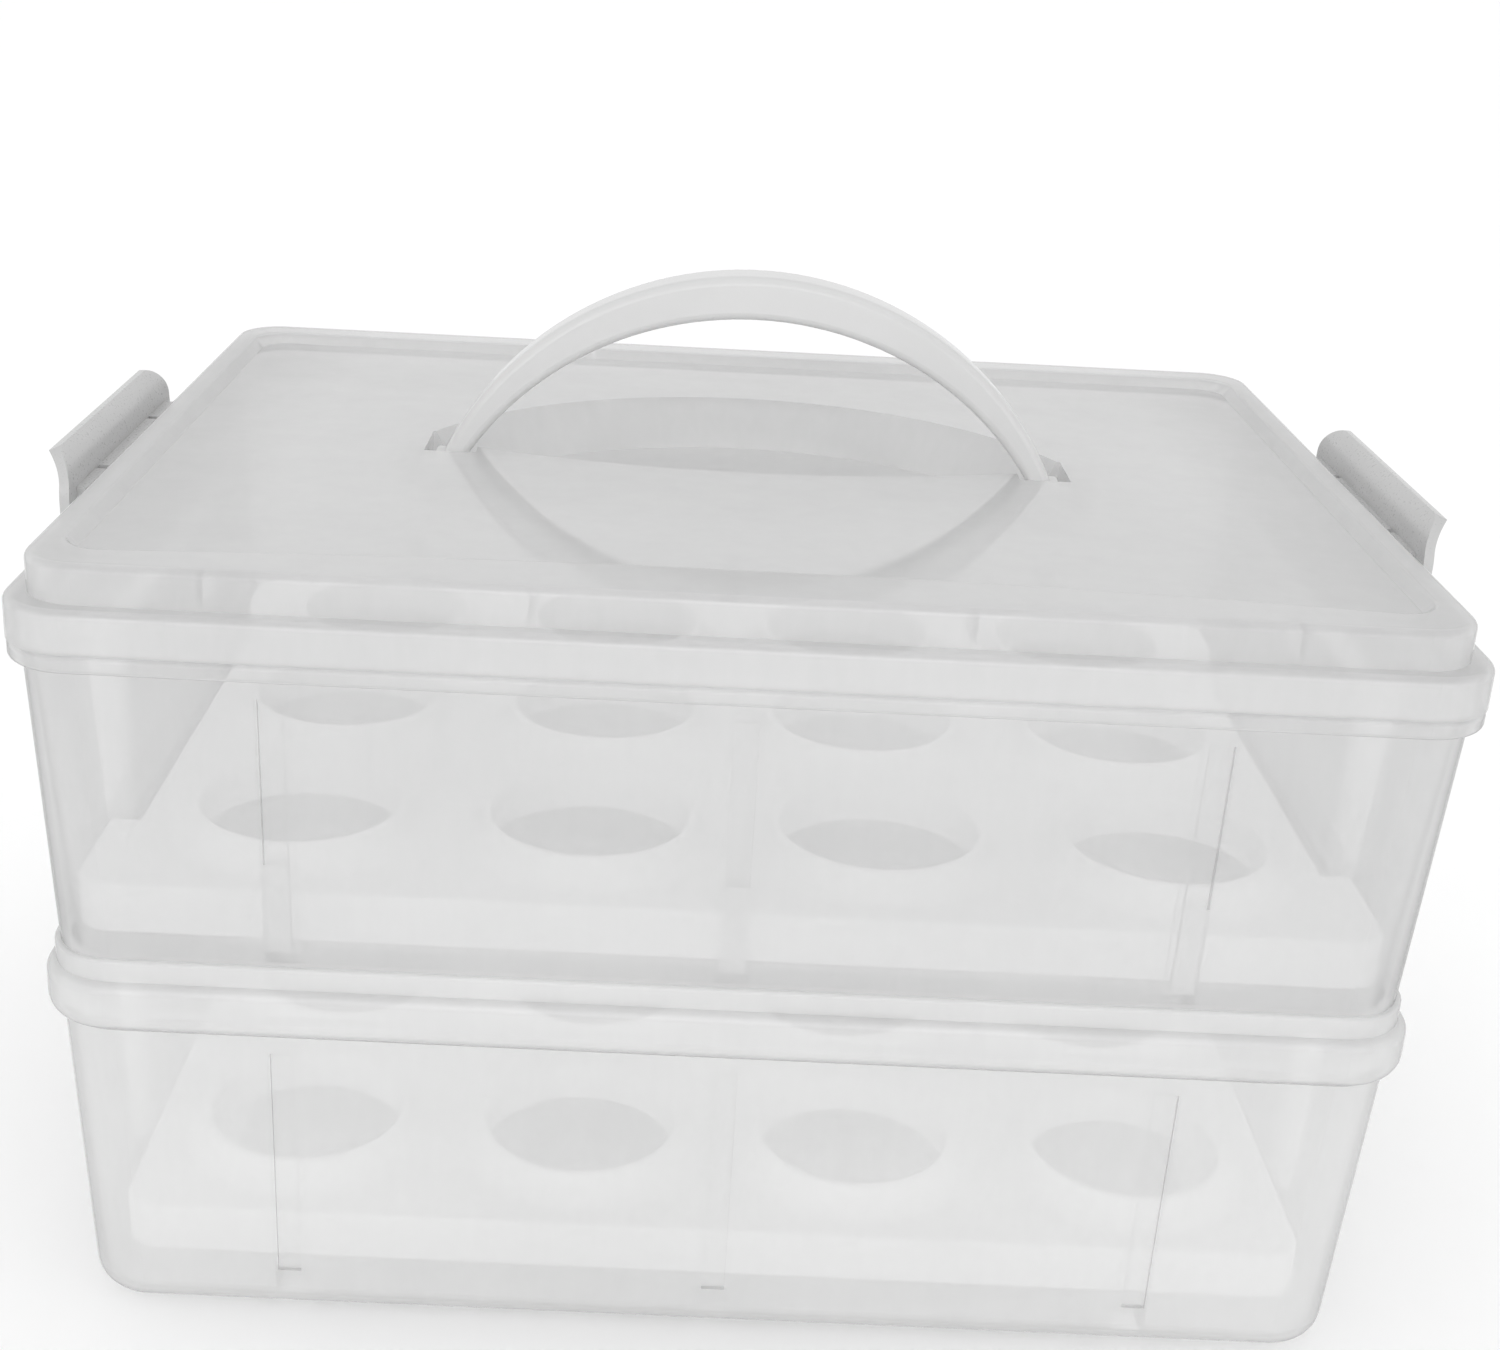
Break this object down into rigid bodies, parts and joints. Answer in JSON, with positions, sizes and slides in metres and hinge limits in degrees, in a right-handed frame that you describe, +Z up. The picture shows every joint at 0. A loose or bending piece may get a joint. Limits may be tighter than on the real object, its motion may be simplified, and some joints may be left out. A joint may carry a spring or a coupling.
{
  "type": "egg holder tray",
  "caption": "Two-tier lidded carrier with round collared wells, a folding top handle and a clip at each end; the tiers stack and lift apart.",
  "frame": {"origin": "on the surface the carrier stands on, under the middle of its bounding box", "axes": "+Z up, +X along the long side towards the right-hand latch, +Y from the front to the back"},
  "size_m": [0.3706, 0.271, 0.258],
  "materials": {
    "clear_lid": "clear, slightly milky, glossy",
    "clear_tub": "clear, slightly milky, glossy",
    "white_handle": "opaque white, satin gloss",
    "white_latch": "opaque grey-white, satin gloss",
    "white_tray": "opaque white, satin"
  },
  "bodies": {
    "lower_tier": {"lower_tier": "clear_tub"},
    "upper_tier": {"upper_tier": "clear_tub"},
    "lid": {"lid": "clear_lid"},
    "handle": {"handle": "white_handle"},
    "latch_left": {"latch_left": "white_latch"},
    "latch_right": {"latch_right": "white_latch"},
    "upper_tray": {"upper_tray": "white_tray"},
    "lower_tray": {"lower_tray": "white_tray"}
  },
  "joints": [
    {"name": "upper_tier_lift", "type": "slide", "parent": "lower_tier", "child": "upper_tier", "axis": [0, 0, 1], "range_m": [0, 0.12]},
    {"name": "lid_lift", "type": "slide", "parent": "upper_tier", "child": "lid", "axis": [0, 0, 1], "range_m": [0, 0.024]},
    {"name": "handle_fold", "type": "hinge", "parent": "lid", "child": "handle", "pos_m": [0, 0, 0.1985], "axis": [-1, 0, 0], "range_deg": [0, 90]},
    {"name": "latch_right_swing", "type": "hinge", "parent": "upper_tier", "child": "latch_right", "pos_m": [0.1795, 0, 0.1835], "axis": [0, 1, 0], "range_deg": [0, 120]},
    {"name": "latch_left_swing", "type": "hinge", "parent": "upper_tier", "child": "latch_left", "pos_m": [-0.1795, 0, 0.1835], "axis": [0, -1, 0], "range_deg": [0, 120]},
    {"name": "upper_tray_lift", "type": "slide", "parent": "upper_tier", "child": "upper_tray", "axis": [0, 0, 1], "range_m": [0, 0.05]},
    {"name": "lower_tray_lift", "type": "slide", "parent": "lower_tier", "child": "lower_tray", "axis": [0, 0, 1], "range_m": [0, 0.055]}
  ],
  "couplings": [
    {"joint": "latch_right_swing", "follows": "lid_lift", "rad_per_m": 87.266},
    {"joint": "latch_left_swing", "follows": "lid_lift", "rad_per_m": 87.266}
  ]
}
